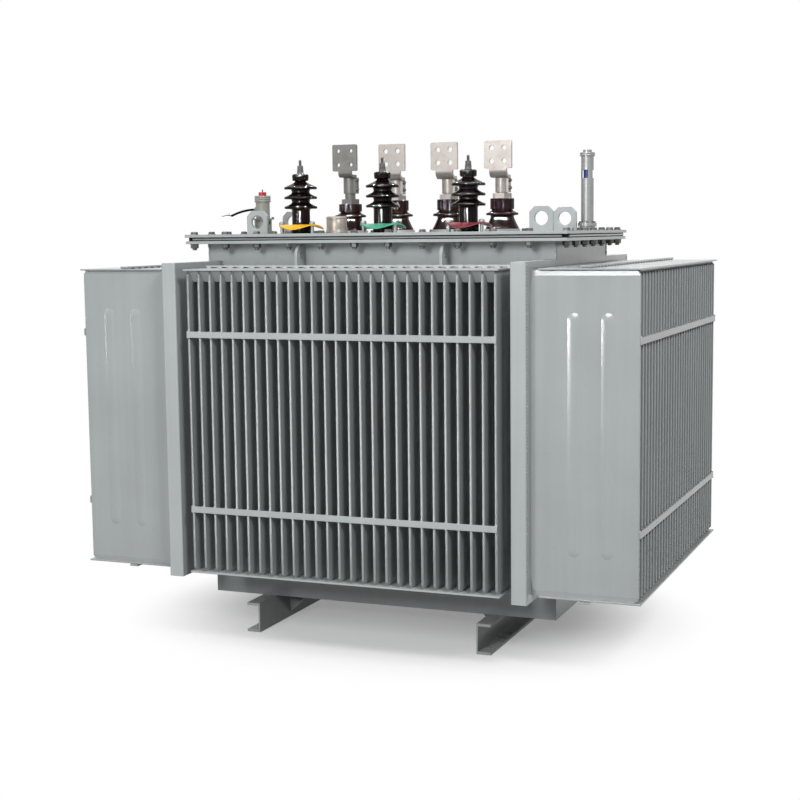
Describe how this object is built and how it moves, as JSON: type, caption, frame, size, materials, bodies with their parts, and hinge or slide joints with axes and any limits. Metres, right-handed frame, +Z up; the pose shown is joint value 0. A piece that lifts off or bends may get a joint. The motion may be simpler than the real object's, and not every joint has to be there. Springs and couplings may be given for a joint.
{
  "type": "oil-filled power transformer",
  "caption": "Oil-filled power transformer: steel tank with cooling fins on base channels, and a bolted cover carrying porcelain bushings, flag terminals and lifting lugs.",
  "frame": {"origin": "on the floor under the middle of the tank", "axes": "+Z up, +X along the tank, -Y towards the high-voltage bushings at the front"},
  "size_m": [1.904, 1.28, 1.6555],
  "materials": {
    "grey_paint": "satin grey paint",
    "gasket_rubber": "black rubber",
    "cable_sheath": "black cable sheath",
    "dark_porcelain": "brown-black glazed porcelain",
    "brown_porcelain": "red-brown glazed porcelain",
    "yellow_paint": "yellow paint",
    "green_paint": "green paint",
    "red_paint": "dark red paint",
    "zinc_steel": "zinc-plated steel",
    "tinned_copper": "tin-plated, matt",
    "dull_tin": "dull tin plate",
    "satin_metal": "satin bare metal",
    "valve_metal": "warm grey cast metal",
    "red_plastic": "red plastic",
    "cap_metal": "warm grey metal",
    "blue_plastic": "blue plastic"
  },
  "bodies": {
    "root": {"left_base_channel": "grey_paint", "right_base_channel": "grey_paint", "tank_floor": "grey_paint", "tank_front_wall": "grey_paint", "tank_back_wall": "grey_paint", "tank_left_wall": "grey_paint", "tank_right_wall": "grey_paint", "front_left_corner_box": "grey_paint", "front_right_corner_box": "grey_paint", "back_left_corner_box": "grey_paint", "back_right_corner_box": "grey_paint", "front_fins": "grey_paint", "back_fins": "grey_paint", "left_fins": "grey_paint", "right_fins": "grey_paint", "front_fin_braces": "grey_paint", "back_fin_braces": "grey_paint", "left_fin_braces": "grey_paint", "right_fin_braces": "grey_paint", "hauling_lugs": "grey_paint", "rim_flange": "grey_paint", "gasket_strips": "grey_paint", "cover_plate": "grey_paint", "lifting_lugs": "grey_paint", "cover_gasket": "gasket_rubber", "signal_lead": "cable_sheath", "left_hv_bushing": "dark_porcelain", "middle_hv_bushing": "dark_porcelain", "right_hv_bushing": "dark_porcelain", "neutral_lv_bushing": "brown_porcelain", "left_lv_bushing": "brown_porcelain", "middle_lv_bushing": "brown_porcelain", "right_lv_bushing": "brown_porcelain", "left_hv_clamp": "yellow_paint", "middle_hv_clamp": "green_paint", "right_hv_clamp": "red_paint", "clamp_studs": "zinc_steel", "hv_terminals": "zinc_steel", "left_flag": "tinned_copper", "middle_flag": "tinned_copper", "right_flag": "tinned_copper", "relief_valve_cap": "red_plastic", "filler_cap": "cap_metal", "level_float": "blue_plastic", "level_gauge": "satin_metal", "relief_valve": "valve_metal", "neutral_flag": "dull_tin"}
  },
  "joints": []
}
